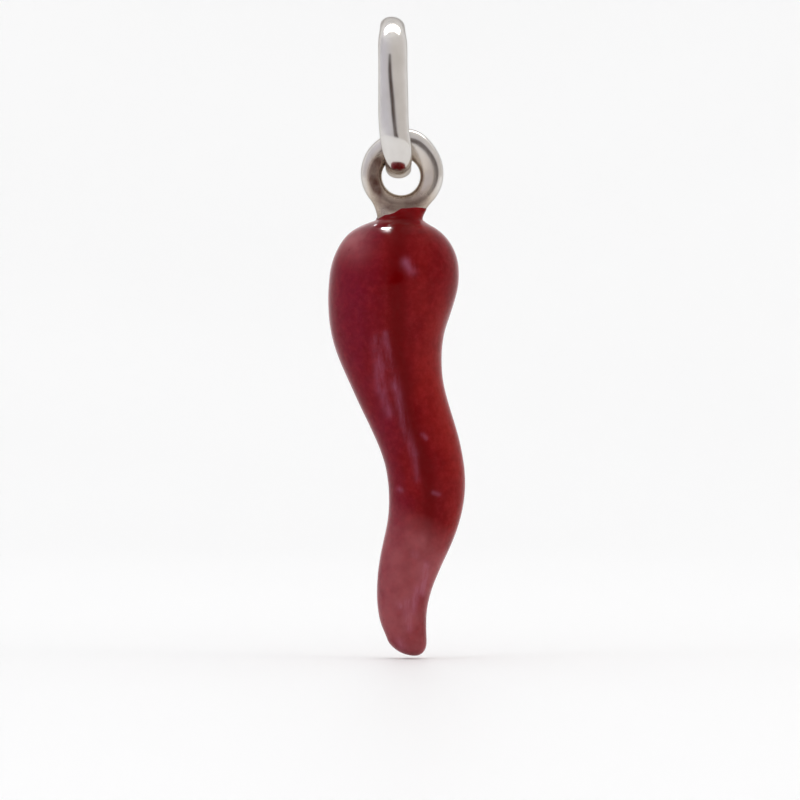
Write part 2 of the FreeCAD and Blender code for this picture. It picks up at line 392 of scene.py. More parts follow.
def polished_sterling_silver(colours):
    """Sterling silver, cast by lost wax and polished by hand on a felt wheel. It is a mirror with slow
    waves in it and very fine hairlines, and a warm sulphide toning is left where the wheel doesn't
    reach: inside the eye, under it, and inside the bail. Under the eye that brown is also painted shade,
    and a brown band on the eye's left is painted dark reflection."""
    material, tree, place = new_material("polished_sterling_silver")
    # Unevenness left by hand polishing, about 1.5 mm from crest to crest
    waves = add(tree, "ShaderNodeTexNoise", dict(zip(NOISE, (place, 0.65, 2.0, 0.45))))
    # Wheel hairlines are microns wide: drawn about 0.1 mm apart, as coarse as shows here
    drawn = {"Vector": place, "Rotation": (0.2, 0.35, 0.1), "Scale": (14, 14, 1.2)}
    along = add(tree, "ShaderNodeMapping", drawn)
    hairlines = add(tree, "ShaderNodeTexNoise", dict(zip(NOISE, (along, 1.0, 3.0, 0.6))))
    clouds = add(tree, "ShaderNodeTexNoise", dict(zip(NOISE, (place, 1.3, 4.0, 0.6))))
    # The toning mark also carries painted shade under the eye and a painted dark reflection on its left
    toning = add(tree, "ShaderNodeAttribute", out="Fac", attribute_name="toning")
    patchy = add(tree, "ShaderNodeMapRange", (clouds, 0.38, 0.64, 0.80, 1.0))
    toned_and_shaded = add(tree, "ShaderNodeMath", (toning, patchy), operation="MULTIPLY", use_clamp=True)
    # A thin film turns silver straw-coloured, and a thicker one brown; the same brown is painted shade under
    # the eye and painted dark reflection on its left
    thin = add(tree, "ShaderNodeMapRange", (toned_and_shaded, 0.0, 0.5))
    dark_brown = add(tree, "ShaderNodeMapRange", (toned_and_shaded, 0.4, 1.0))
    surface = colours.silver
    for cover, colour in ((clouds, colours.silver_shade), (thin, colours.straw), (dark_brown, colours.toning)):
        surface = add(tree, "ShaderNodeMix", {0: cover, 6: surface, 7: colour}, out=2, data_type="RGBA")
    smooth = add(tree, "ShaderNodeMapRange", (hairlines, 0.3, 0.7, 0.12, 0.17))
    dull = add(tree, "ShaderNodeMath", (toned_and_shaded, 0.22, smooth), operation="MULTIPLY_ADD")
    slow = add(tree, "ShaderNodeBump", {"Height": waves, "Strength": 0.45, "Distance": 0.020 * MM})
    fine = add(tree, "ShaderNodeBump", {
        "Height": hairlines, "Strength": 0.05, "Distance": 0.003 * MM, "Normal": slow,
    })
    # The film that silver gets in air greys its reflection where the surface turns away
    shader = add(tree, "ShaderNodeBsdfPrincipled", {
        "Base Color": surface, "Metallic": 1.0, "Roughness": dull, "Normal": fine,
        "Specular Tint": colours.rim,
    })
    add(tree, "ShaderNodeOutputMaterial", {"Surface": shader})
    return material


def cured_red_cold_enamel(colours):
    """Cold enamel: a pigmented epoxy brushed on in a thick coat and cured, with no firing. It is wet and
    glossy over a deep red. Painted into the red are a darkest line down the middle of the front, which is
    a painted dark reflection, a cooler left and warmer right, painted tints of the light on each side,
    pale mauve streaks, partly painted reflection and partly brush drag, and a painted pale highlight on
    the left shoulder. A haze lies towards the tip, and a bloom pales its edges."""
    material, tree, place = new_material("cured_red_cold_enamel")
    depth, veil, side, haze = (
        add(tree, "ShaderNodeAttribute", out="Fac", attribute_name=name)
        for name in ("depth", "veil", "side", "haze")
    )
    # Pigment settles in clouds of about 2 mm and drags into strokes about 0.4 mm wide down the horn
    clouds = add(tree, "ShaderNodeTexNoise", dict(zip(NOISE, (place, 0.55, 4.0, 0.55))))
    stroke_place = add(tree, "ShaderNodeMapping", {"Vector": place, "Scale": (2.4, 2.4, 0.55)})
    strokes = add(tree, "ShaderNodeTexNoise", dict(zip(NOISE, (stroke_place, 1.0, 5.0, 0.62))))
    # Pigment grains are microns wide: drawn as a grain of 0.1 to 0.3 mm, which just shows
    grain = add(tree, "ShaderNodeTexNoise", dict(zip(NOISE, (place, 3.4, 5.0, 0.72))))
    # Dust caught while the coat cured: specks of under 0.1 mm, some 2 mm apart
    cells = add(tree, "ShaderNodeTexVoronoi", {"Vector": place, "Scale": 0.55, "Randomness": 1.0})
    blotches = add(tree, "ShaderNodeMath", (clouds, strokes), operation="MULTIPLY")
    # The line between cool, plain and warm red, painted tints of the light on the left and right, strays with
    # the clouds
    strayed = add(tree, "ShaderNodeMath", (clouds, 1.5, -0.75), operation="MULTIPLY_ADD")
    strayed = add(tree, "ShaderNodeMath", (side, strayed), operation="ADD")
    # Masks: what each is read from, where it begins and ends, and its value at both
    mask = {
        name: add(tree, "ShaderNodeMapRange", row) for name, *row in (
            ("mottle", blotches, 0.17, 0.34, 0.0, 1.0),
            ("cool", strayed, -0.38, -1.05, 0.0, 1.0),
            ("warm", strayed, 0.10, 0.90, 0.0, 1.0),
            ("light grain", grain, 0.46, 0.72, 0.0, 0.30),
            ("dark grain", grain, 0.47, 0.30, 0.0, 0.40),
            ("broken", strokes, 0.38, 0.62, 0.15, 1.0),
            ("cloudy", clouds, 0.36, 0.62, 0.35, 1.0),
            ("speck", cells, 0.025, 0.055, 0.5, 0.0),
        )
    }
    # The light grains hardly show where the red is deepest
    shallows = add(tree, "ShaderNodeMath", (depth, -0.85, 1.0), operation="MULTIPLY_ADD")
    grains, streaked, hazed_and_lit = (
        add(tree, "ShaderNodeMath", pair, operation="MULTIPLY", use_clamp=True)
        for pair in ((mask["light grain"], shallows), (veil, mask["broken"]), (haze, mask["cloudy"]))
    )
    # The darkest red down the front's middle, read from depth, is a painted dark reflection
    red = colours.enamel
    for cover, colour in (
        (mask["mottle"], colours.enamel_light), (mask["cool"], colours.enamel_cool),
        (mask["warm"], colours.enamel_warm), (depth, colours.enamel_darkest), (grains, colours.grain),
        (mask["dark grain"], colours.enamel_darkest), (streaked, colours.veil), (hazed_and_lit, colours.haze),
        (mask["speck"], colours.speck),
    ):
        red = add(tree, "ShaderNodeMix", {0: cover, 6: red, 7: colour}, out=2, data_type="RGBA")
    # Orange peel of a brushed coat, about 0.8 mm from crest to crest, and finer brush drag
    peel = add(tree, "ShaderNodeTexNoise", dict(zip(NOISE, (place, 1.25, 2.0, 0.5))))
    shallow = add(tree, "ShaderNodeBump", {"Height": peel, "Strength": 0.06, "Distance": 0.020 * MM})
    dragged = add(tree, "ShaderNodeBump", {
        "Height": strokes, "Strength": 0.10, "Distance": 0.014 * MM, "Normal": shallow,
    })
    gloss = add(tree, "ShaderNodeMapRange", (mask["mottle"], 0.0, 1.0, 0.09, 0.15))
    gloss = add(tree, "ShaderNodeMath", (streaked, 0.16, gloss), operation="MULTIPLY_ADD")
    gloss = add(tree, "ShaderNodeMath", (hazed_and_lit, 0.14, gloss), operation="MULTIPLY_ADD")
    shader = add(tree, "ShaderNodeBsdfPrincipled", {
        "Base Color": red, "Roughness": gloss, "IOR": 1.5, "Specular IOR Level": 0.075, "Normal": dragged,
        "Sheen Weight": 0.66, "Sheen Roughness": 0.24, "Sheen Tint": colours.bloom,
    })
    add(tree, "ShaderNodeOutputMaterial", {"Surface": shader})
    return material


def matte_pale_card(colours):
    """White cotton card, pressed and uncoated. It is matte with a faint tooth and a slight unevenness."""
    material, tree, place = new_material("matte_pale_card")
    # Fibres are hundredths of a millimetre: drawn as a tooth of about 1 mm
    tooth = add(tree, "ShaderNodeTexNoise", dict(zip(NOISE, (place, 0.9, 4.0, 0.6))))
    wide = add(tree, "ShaderNodeTexNoise", dict(zip(NOISE, (place, 0.012, 1.0))))
    ends = {0: wide, 6: colours.card, 7: colours.card_shade}
    tone = add(tree, "ShaderNodeMix", ends, out=2, data_type="RGBA")
    relief = add(tree, "ShaderNodeBump", {"Height": tooth, "Strength": 0.05, "Distance": 0.03 * MM})
    shader = add(tree, "ShaderNodeBsdfPrincipled", {
        "Base Color": tone, "Roughness": 0.55, "Normal": relief, "Specular IOR Level": 0.3,
    })
    add(tree, "ShaderNodeOutputMaterial", {"Surface": shader})
    return material


def grey_screen_cloth(colours):
    """Matte cotton screen cloth, dyed in bands: the grey surroundings and the dark gap that a polished
    thing needs in its reflections to read as polished."""
    material, tree, place = new_material("grey_screen_cloth")
    gap = add(tree, "ShaderNodeAttribute", out="Fac", attribute_name="gap")
    white = add(tree, "ShaderNodeAttribute", out="Fac", attribute_name="white")
    nap = add(tree, "ShaderNodeTexNoise", dict(zip(NOISE, (place, 0.05, 2.0))))
    side = add(tree, "ShaderNodeSeparateXYZ", (place,), out="X")
    side = add(tree, "ShaderNodeMapRange", (side, -120.0, 120.0))
    ends = {0: nap, 6: colours.gap, 7: colours.gap_shade}
    dark = add(tree, "ShaderNodeMix", ends, out=2, data_type="RGBA")
    tone = colours.screen_left
    for cover, colour in ((side, colours.screen_right), (white, colours.card), (gap, dark)):
        tone = add(tree, "ShaderNodeMix", {0: cover, 6: tone, 7: colour}, out=2, data_type="RGBA")
    shader = add(tree, "ShaderNodeBsdfPrincipled", {
        "Base Color": tone, "Roughness": 0.9, "Specular IOR Level": 0.1,
    })
    add(tree, "ShaderNodeOutputMaterial", {"Surface": shader})
    return material


def length(name, text, value):
    """A length in metres, shown in the scene's unit."""
    return FloatProperty(name=name, description=text, default=value * MM, unit="LENGTH", precision=5)


def strength(name, text, value):
    """A plain number from nought up."""
    return FloatProperty(name=name, description=text, default=value, min=0)


def paint(name, text, hex_colour):
    """A colour, given as sRGB hex and kept linear."""
    return FloatVectorProperty(
        name=name, description=text, default=linear(hex_colour), subtype="COLOR", size=4, min=0, max=1
    )


class CastingSizes(bpy.types.PropertyGroup):
    """Sizes of the cast eye."""
    ring_radius: length("Eye radius", "Outer radius of the eye", 1.86)
    ring_shift: length("Eye shift", "Outer circle to the right of the hole's centre", 0.05)
    ring_rise: length("Eye rise", "Outer circle above the hole's centre", 0.13)
    top_swell: length("Top swell", "How far the eye's top bulges past its circle", 0.17)
    hole_radius: length("Hole radius", "Radius of the eye's hole", 0.86)
    thickness: length("Eye thickness", "The eye from front to back", 0.95)


class EnamelSizes(bpy.types.PropertyGroup):
    """Sizes of the enamel's upper edge."""
    lip_width: length("Lip width", "How far the enamel takes to reach the height of its lip", 0.16)
    lip_height: length("Lip height", "Thickness of the enamel just below its edge", 0.03)
    wander: length("Edge wander", "How far the painted edge strays up and down", 0.03)


class BailSizes(bpy.types.PropertyGroup):
    """Sizes of the bail."""
    inside_height: length("Inside height", "The opening, top to bottom", 5.51)
    inside_depth: length("Inside depth", "The opening, front to back", 1.94)
    wire_thickness: length("Wire thickness", "The wire, from inside to outside", 0.88)
    wire_width: length("Wire width", "The wire across its flat side, in the legs", 1.35)
    foot_width: length("Foot width", "The wire across its flat side, in the eye", 1.16)
    crown_width: length("Crown width", "The wire across its flat side, at the top", 1.12)


class Finishes(bpy.types.PropertyGroup):
    """Colours of the finishes."""
    silver: paint("Silver", "Clean polished silver", "e3e0dd")
    silver_shade: paint("Silver shade", "Silver in the duller clouds of the polish", "cac5c0")
    rim: paint("Rim", "How silver reflects where it is seen edge-on", "c6c3c1")
    # Toning colour, also used for the painted shade under the eye and the painted dark reflection on its left
    straw: paint("Straw", "Silver with a thin sulphide film", "c4b6a8")
    toning: paint("Toning", "Silver with a thick sulphide film", "5c4038")
    enamel: paint("Enamel", "The enamel's main red", "640408")
    enamel_light: paint("Light enamel", "The enamel's lighter blotches", "6d070d")
    # Cool left and warm right: painted tints of the light on each side of the horn
    enamel_cool: paint("Cool enamel", "Enamel on the horn's left side", "670c20")
    enamel_warm: paint("Warm enamel", "Enamel on the horn's right side", "7d1612")
    # Darkest red: the painted dark reflection down the front, and the dark grains
    enamel_darkest: paint("Deep enamel", "Enamel where it is thickest", "5c0002")
    # The pale streaks are partly painted reflection and partly brush drag
    veil: paint("Veil", "Pale drag marks in the enamel", "904e66")
    # The haze colour also paints a pale highlight on the left shoulder
    haze: paint("Haze", "The cloudy film towards the tip", "9b565b")
    bloom: paint("Bloom", "The paling of the enamel at its edges", "e0a6ae")
    grain: paint("Grain", "The lightest grains of pigment", "9a262c")
    speck: paint("Speck", "Dust in the enamel", "3a0a0c")
    card: paint("Card", "Floor and backdrop", "f9f9f9")
    card_shade: paint("Card shade", "Floor and backdrop, in the duller parts", "f5f5f5")
    screen_left: paint("Screen, left", "The screen in front, on the left", "dad9e1")
    screen_right: paint("Screen, right", "The screen in front, on the right", "dcd8d4")
    gap: paint("Gap", "The dark gap in the screen", "48342e")
    gap_shade: paint("Gap shade", "The gap's darker parts", "382722")


class StudioSettings(bpy.types.PropertyGroup):
    """The light and the camera."""
    frame_width: length("Frame width", "What the picture takes in at the horn", 36.0)
    target_x: length("Target right", "Where the camera looks, to the right of the chain's seat", 0.2655)
    target_drop: length("Target drop", "Where the camera looks, below the chain's seat", 16.362)
    lens: FloatProperty(name="Lens", description="Focal length in millimetres", default=200, min=20, max=400)
    sky: strength("Sky", "Strength of the light from all round", 1.08)
    enamel_shine: strength("Enamel shine", "Watts of the softbox that shines in the enamel", 8.6)
    silver_shine: strength("Silver shine", "Watts of the softbox that shines in the silver", 0.50)
    fill: strength("Fill", "Watts of each light at the side", 0.40)


def settings(context):
    """The sizes of the casting, the enamel and the bail, and the finishes."""
    scene = context.scene
    return scene.horn_casting_sizes, scene.horn_enamel_sizes, scene.horn_bail_sizes, scene.horn_finishes


# The height of the wear in the eye's polish, how far the neck's foot lies inside the eye and how far the
# core lies inside the enamel, in mm, and the share by which the eye draws in under the neck's foot
EYE_WEAR = 0.008
FOOT_SUNK = 0.003
CORE_SUNK = 0.012
EYE_DRAWN_IN = 0.25


class HORN_OT_silver_casting(bpy.types.Operator):
    """Makes the silver casting: the eye, the neck and the core inside the enamel"""
    bl_idname = "horn.silver_casting"
    bl_label = "Silver casting"

    def execute(self, context):
        sizes, _, _, colours = settings(context)
        material = silver_material(colours)
        around, section = sheet_of(np.linspace(0, TURN, 288, endpoint=False), 88)
        eye = eye_surface(around, section, sizes)
        inside = neck_foot(around, section)[..., None]
        wear = ripple(eye, 1.1, 11)[..., None] * EYE_WEAR * np.clip(-3 * inside, 0, 1)
        eye = eye + wear * np.stack([np.cos(around), 0 * around, np.sin(around)], axis=-1)
        # Under the neck's foot the eye draws back into its own wire
        eye = eye + (eye.mean(axis=1, keepdims=True) - eye) * EYE_DRAWN_IN * np.clip(3 * inside, 0, 1)
        rows = np.concatenate([np.linspace(-1, 0, 56), np.linspace(0.06, HORN_LENGTH, 110)])
        along, turn = sheet_of(rows, 168)
        sunk = FOOT_SUNK + (CORE_SUNK - FOOT_SUNK) * np.clip((along + 0.9) / 0.2, 0, 1)
        body = casting_surface(along, turn, -sunk, sizes)
        # The neck's upper end closes inside the eye's wire
        start = on_eye(turn[0], sizes)
        cap = np.stack([start * (1 - t) + start.mean(axis=0) * t for t in (0.98, 0.5, 0.12)])
        cap[..., 2] += 0.08
        piece = make_piece(
            "silver_horn_casting",
            [shell(eye, ring=True), shell(np.vstack([cap, body]))],
            material, "horn", "horn_casting",
        )
        # Toning, with painted shade under the eye and a painted dark reflection on the eye's left
        tone(piece, "toning", casting_toning_and_shade)
        return {"FINISHED"}


def casting_toning_and_shade(points):
    """Brown on the eye: a band on the eye's left, which is painted dark reflection, a darkening low on the
    eye and in the neck, which is toning and painted shade, and a thin film of toning round the eye that
    fades towards its top. They are bell curves, a smooth step and a ramp of the place in millimetres and
    degrees."""
    away = points - EYE_CENTRE
    radius = np.hypot(away[:, 0], away[:, 2])
    angle = np.degrees(np.arctan2(away[:, 2], away[:, 0])) % 360
    low = 1 / (1 + np.exp((away[:, 2] + 1.00) / 0.18))
    band = np.exp(-((radius - 1.22) / 0.22) ** 2) * np.exp(-((angle - 176) / 42) ** 4)
    face = np.exp(-((radius - 1.25) / 0.42) ** 4) * np.clip(1.1 - away[:, 2] / 1.6, 0.2, 1)
    return np.clip(1.15 * band + 0.70 * low + 0.46 * face, 0, 1)


def silver_material(colours):
    """The one silver of the eye and the bail."""
    found = bpy.data.materials.get("polished_sterling_silver")
    return found or polished_sterling_silver(colours)


# The enamel's upper edge, in mm below the hole's centre, for angles round the neck in degrees from the
# right over the front: it laps the eye on the right, and steps down to the left
EDGE_ANGLES = np.array([0, 40, 76, 90, 106, 135, 164, 180, 225, 270, 315, 360])
EDGE_DROPS = np.array([1.47, 1.45, 1.42, 1.46, 1.68, 1.79, 1.91, 1.88, 1.76, 1.62, 1.54, 1.47])


def enamel_edge(around, sizes, casting):
    """Where along the neck the enamel starts, for angles round it. The painted line of the table wanders
    up and down by three waves, and where it crosses the neck is read off between steps of a sixtieth."""
    drop = np.interp(np.degrees(around) % 360, EDGE_ANGLES, EDGE_DROPS)
    waves = np.sin(5 * around + 0.6) + 0.6 * np.sin(9 * around + 2.1) + 0.4 * np.sin(16 * around)
    drop = drop + sizes.wander / MM * waves / 2
    places = np.linspace(-1, 0, 61)
    along, turn = np.meshgrid(places, around, indexing="ij")
    below = EYE_CENTRE[2] - casting_surface(along, turn, np.zeros_like(along), casting)[..., 2]
    after = np.clip(np.argmax(below >= drop, axis=0), 1, None)
    low = np.take_along_axis(below, after[None] - 1, axis=0)[0]
    high = np.take_along_axis(below, after[None], axis=0)[0]
    return np.clip(places[after - 1] + (drop - low) / (high - low) * (places[1] - places[0]), -1, 0)


# How far below its edge the coat has its full depth and how uneven it is, in mm, and its mesh's columns
COAT_REACH = 1.5
COAT_UNEVENNESS = 0.011
ENAMEL_COLUMNS = 232


class HORN_OT_red_enamel(bpy.types.Operator):
    """Makes the red enamel over the horn, with a rounded lip at its hand-painted upper edge"""
    bl_idname = "horn.red_enamel"
    bl_label = "Red enamel"

    def execute(self, context):
        casting, sizes, _, colours = settings(context)
        steps = np.concatenate([
            np.linspace(0, 0.012, 10)[:-1], np.linspace(0.012, 0.12, 64)[:-1], np.linspace(0.12, 1, 290),
        ])
        share, around = sheet_of(steps, ENAMEL_COLUMNS)
        edge = enamel_edge(around[0], sizes, casting)
        along = edge + (HORN_LENGTH - edge) * share
        travelled = along - edge
        into_lip = np.clip(travelled / (sizes.lip_width / MM), 0, 1)
        lip = np.sqrt(1 - (1 - into_lip) ** 2) * sizes.lip_height / MM
        coat = spline(HORN_KNOTS, HORN_ROWS, np.clip(along, 0, HORN_LENGTH))[..., -1]
        full = np.clip(travelled / COAT_REACH, 0, 1)
        full = full ** 2 * (3 - 2 * full)
        height = lip + (np.maximum(coat, sizes.lip_height / MM) - lip) * full
        outer = casting_surface(along, around, height, casting)
        fade = np.clip((travelled - 1.2) / 2.5, 0, 1) * np.clip((HORN_LENGTH - along) / 1.2, 0, 1)
        uneven = -0.5 + 0.5 * ripple(outer, 2.3, 5) + 0.28 * ripple(outer, 1.0, 6)
        outer = casting_surface(along, around, height + COAT_UNEVENNESS * uneven * fade, casting)
        # The inner face runs from the tip up to the edge, and the outer one down again
        inside = np.concatenate([np.linspace(1, 0.12, 30), np.linspace(0.11, 0, 12)])
        inner_share, inner_around = sheet_of(inside, ENAMEL_COLUMNS)
        inner_along = edge + (HORN_LENGTH - edge) * inner_share
        inner = casting_surface(inner_along, inner_around, np.zeros_like(inner_along), casting)
        piece = make_piece(
            "red_enamel_coat", [shell(np.vstack([inner, outer[1:]]))],
            cured_red_cold_enamel(colours), "horn", "enamel_coat",
        )
        # These marks paint into the red a dark reflection down the front, the tint of the light on each side,
        # pale streaks that are partly reflection, and a highlight on the left shoulder
        for name, rule in (
            ("depth", enamel_dark_line), ("veil", enamel_pale_streaks), ("side", enamel_side), ("haze", enamel_haze_and_highlight),
        ):
            tone(piece, name, rule)
        return {"FINISHED"}


# Where the red is darkest down the front, a painted dark reflection: (right, down, half the width) in mm from
# the chain's seat
DARK_LINE = np.array([
    (0.35, 7.9, 0.70), (0.20, 9.2, 0.50), (0.10, 11.4, 0.40), (0.22, 14.6, 0.40), (0.50, 15.6, 0.42),
    (0.45, 16.5, 0.42), (0.83, 17.7, 0.40), (1.29, 18.9, 0.40), (1.52, 19.8, 0.38), (1.59, 20.9, 0.34),
    (1.50, 22.5, 0.30), (1.20, 24.5, 0.25),
])
# Pale streaks, partly painted reflection and partly brush drag: (right, down) at both ends and half the
# width, in mm, and how strong
PALE_STREAKS = np.array([
    (-0.78, 13.74, -0.66, 14.80, 0.26, 0.42), (-0.66, 14.80, -0.53, 15.90, 0.28, 0.48),
    (-0.53, 15.90, -0.21, 16.96, 0.22, 0.40), (-0.76, 13.84, -0.60, 15.30, 0.07, 0.60),
    (-0.41, 13.42, -0.15, 14.94, 0.16, 0.40), (-0.15, 14.94, 0.17, 16.20, 0.22, 0.45),
    (0.17, 16.20, 0.45, 17.50, 0.20, 0.45), (0.45, 17.50, 0.90, 18.80, 0.18, 0.38),
    (-0.13, 15.10, 0.36, 17.10, 0.06, 0.60), (0.90, 18.80, 1.05, 19.90, 0.16, 0.25),
    (0.54, 10.25, 0.83, 10.62, 0.22, 0.55), (1.27, 17.90, 1.45, 18.06, 0.10, 0.45),
    (0.22, 20.34, 0.30, 20.40, 0.11, 0.45), (1.74, 20.50, 2.02, 20.58, 0.09, 0.35),
    (0.86, 23.20, 0.96, 23.34, 0.15, 0.70), (1.44, 23.80, 1.22, 24.95, 0.22, 0.80),
    (0.20, 25.45, 0.28, 25.60, 0.13, 0.70), (0.60, 25.40, 0.62, 26.60, 0.18, 0.70),
    (1.08, 24.75, 0.78, 25.85, 0.18, 0.75), (0.28, 27.2, 0.40, 27.5, 0.25, 0.50),
])


def to_front(points):
    """One on the horn's front, nought on its back, and a ramp between."""
    return np.clip(0.5 - points[:, 1] / 1.2, 0, 1)


def from_dark_line(points):
    """How far to the right of the dark line points lie, and half the line's width there."""
    down = -points[:, 2]
    middle = np.interp(down, DARK_LINE[:, 1], DARK_LINE[:, 0])
    return points[:, 0] - middle, np.interp(down, DARK_LINE[:, 1], DARK_LINE[:, 2])


def enamel_dark_line(points):
    """How dark the red is: a bell curve of the distance from the dark line down the front, as wide as the
    line is there, which paints the dark reflection on the front. The back has a fainter one."""
    down = -points[:, 2]
    away, half = from_dark_line(points)
    ends = np.clip((down - 7.4) / 0.8, 0, 1) * np.clip((24.5 - down) / 3.0, 0, 1)
    bell = np.exp(-np.abs(away / half) ** 3)
    return bell * ends * (0.35 + 0.65 * to_front(points))


def enamel_pale_streaks(points):
    """How pale the streaks are, partly painted reflection and partly brush drag: for each streak a bell
    curve of the distance from its line, and the strongest streak counts."""
    place = points[:, [0, 2]] * (1, -1)
    start = PALE_STREAKS[:, None, 0:2]
    along = PALE_STREAKS[:, None, 2:4] - start
    reach = np.clip(((place - start) * along).sum(-1) / (along ** 2).sum(-1), 0, 1)
    away = np.linalg.norm(place - start - reach[..., None] * along, axis=-1)
    marks = PALE_STREAKS[:, None, 5] * np.exp(-(away / PALE_STREAKS[:, None, 4]) ** 2)
    return marks.max(axis=0) * to_front(points)


def enamel_side(points):
    """Which way the red leans, a painted tint of the light on each side: cool below nought and warm above. It
    falls to the left of the dark line and rises to the right, and in the upper part it falls again towards
    the right edge."""
    side = from_dark_line(points)[0] / 1.7
    upper = np.clip((15.5 + points[:, 2]) / 4.5, 0, 1)
    right = np.clip(side, 0, 1.6)
    edge = 1.6 * np.clip(right - 0.75, 0, 1)
    return np.clip(side, -1, 0) + right * (1 - 0.45 * upper) - upper * edge


def enamel_haze_and_highlight(points):
    """How cloudy the coat is: a ramp at a line that leans down to the right across the lower bend, most
    on the front below it; and a bell curve round the left shoulder, which paints a pale highlight there."""
    low = np.clip((-points[:, 2] - 0.5 * points[:, 0] - 20.7) / 1.3, 0, 1)
    low = low * (0.35 + 0.25 * to_front(points))
    # A painted pale highlight on the left shoulder
    shoulder = 0.80 * np.exp(-((points[:, 0] + 1.75) / 0.75) ** 2 - ((points[:, 2] + 9.1) / 0.9) ** 2)
    return np.maximum(low, shoulder)


# The bail's middle as seen from the front: (right, down) in mm from the chain's seat
BAIL_MIDDLE = np.array([
    (-0.077, -0.88), (-0.060, 0.40), (-0.048, 1.80), (-0.035, 3.00), (-0.020, 3.90), (0.070, 4.80),
    (0.170, 5.50), (0.197, 5.95), (0.200, 6.50),
])
# How far the wire is turned about its own line, as (down in mm, degrees to the right)
BAIL_TWIST = np.array([(-0.5, 9), (0.3, 15), (1.2, 20), (2.6, 12), (4.2, 0), (5.0, -1), (6.0, 0)])


def bail_surface(along, around, sizes):
    """The bail. A wire's section goes along a stadium that stands front to back: two straight legs and a
    half circle at each end, and the way along is from 0 at the top over the front leg to 1 at the top
    again. The section is an oval, narrower at the crown and where it passes through the eye, turned about
    the wire's own line as BAIL_TWIST says. The whole wire bends sideways along the line of BAIL_MIDDLE."""
    half = sizes.wire_thickness / 2 / MM
    bend = sizes.inside_depth / 2 / MM + half
    leg = sizes.inside_height / MM + 2 * half - 2 * bend
    quarter = bend * TURN / 4
    whole = 4 * quarter + 2 * leg
    way = along * whole
    front = np.clip(way - quarter, 0, leg)
    back = np.clip(way - 3 * quarter - leg, 0, leg)
    turned = (way - front - back) / bend
    outward = np.stack([np.zeros_like(turned), -np.sin(turned), np.cos(turned)], axis=-1)
    middle = outward * bend
    middle[..., 2] += half - bend - front + back
    foot = np.exp(-((turned - TURN / 2) / 0.85) ** 4)
    crown = np.exp(-(wrapped(turned) / 0.95) ** 4)
    width = sizes.wire_width + (sizes.foot_width - sizes.wire_width) * foot
    width = (width + (sizes.crown_width - sizes.wire_width) * crown) / 2 / MM
    down = np.clip(-middle[..., 2], BAIL_TWIST[0, 0], BAIL_TWIST[-1, 0])
    twist = np.radians(spline(BAIL_TWIST[:, 0], BAIL_TWIST[:, 1:], down)[..., 0])
    across = width * np.cos(around)
    out = half * np.sin(around)
    point = middle + outward * (out * np.cos(twist) - across * np.sin(twist))[..., None]
    point[..., 0] += across * np.cos(twist) + out * np.sin(twist)
    down = np.clip(-point[..., 2], BAIL_MIDDLE[0, 1], BAIL_MIDDLE[-1, 1])
    point[..., 0] += spline(BAIL_MIDDLE[:, 1], BAIL_MIDDLE[:, :1], down)[..., 0]
    return point


class HORN_OT_bail(bpy.types.Operator):
    """Makes the bail that the chain passes through"""
    bl_idname = "horn.bail"
    bl_label = "Bail"

    def execute(self, context):
        _, _, sizes, colours = settings(context)
        along, around = sheet_of(np.linspace(0, 1, 360, endpoint=False), 96)
        points = bail_surface(along, around, sizes)
        piece = make_piece(
            "bail_link", [shell(points, ring=True)], silver_material(colours), "bail", "bail",
        )
        tone(piece, "toning", bail_toning)
        return {"FINISHED"}


def bail_toning(points):
    """Toning is strongest inside the bail's foot, which the wheel can't reach."""
    inside = np.clip(1.1 - np.abs(points[:, 1]) / 1.3, 0, 1)
    low = np.clip((-points[:, 2] - 4.6) / 1.2, 0, 1)
    return 0.55 * inside * low


class HORN_OT_studio(bpy.types.Operator):
    """Makes the pale floor and backdrop, the lights and the camera"""
    bl_idname = "horn.studio"
    bl_label = "Studio"

    def execute(self, context):
        scene = context.scene
        studio = scene.horn_studio
        colours = scene.horn_finishes
        pale_backdrop(colours)
        front_screen(colours)
        for light in LIGHTS:
            make_light(studio, *light)
        world = bpy.data.worlds.new("studio_air")
        world.use_nodes = True
        air = world.node_tree.nodes["Background"].inputs
        air["Color"].default_value = linear("f7f7f7")
        air["Strength"].default_value = studio.sky
        scene.world = world
        camera = bpy.data.cameras.new("camera")
        camera.lens = studio.lens
        camera.sensor_width = 36
        camera.clip_start = 0.005
        camera.clip_end = 20
        stand = bpy.data.objects.new("camera", camera)
        distance = studio.frame_width * studio.lens / camera.sensor_width
        stand.location = (studio.target_x, -distance, -studio.target_drop)
        stand.rotation_euler = (TURN / 4, 0, 0)
        scene.collection.objects.link(stand)
        scene.camera = stand
        scene.view_settings.view_transform = "Standard"
        return {"FINISHED"}


# The backdrop's profile in mm: flat at its drop and out to its radius, then a quarter oval up to the wall
FLOOR_DROP = 28.0
FLOOR_RADIUS = 130.0
WALL_RADIUS = 620.0
WALL_HEIGHT = 420.0


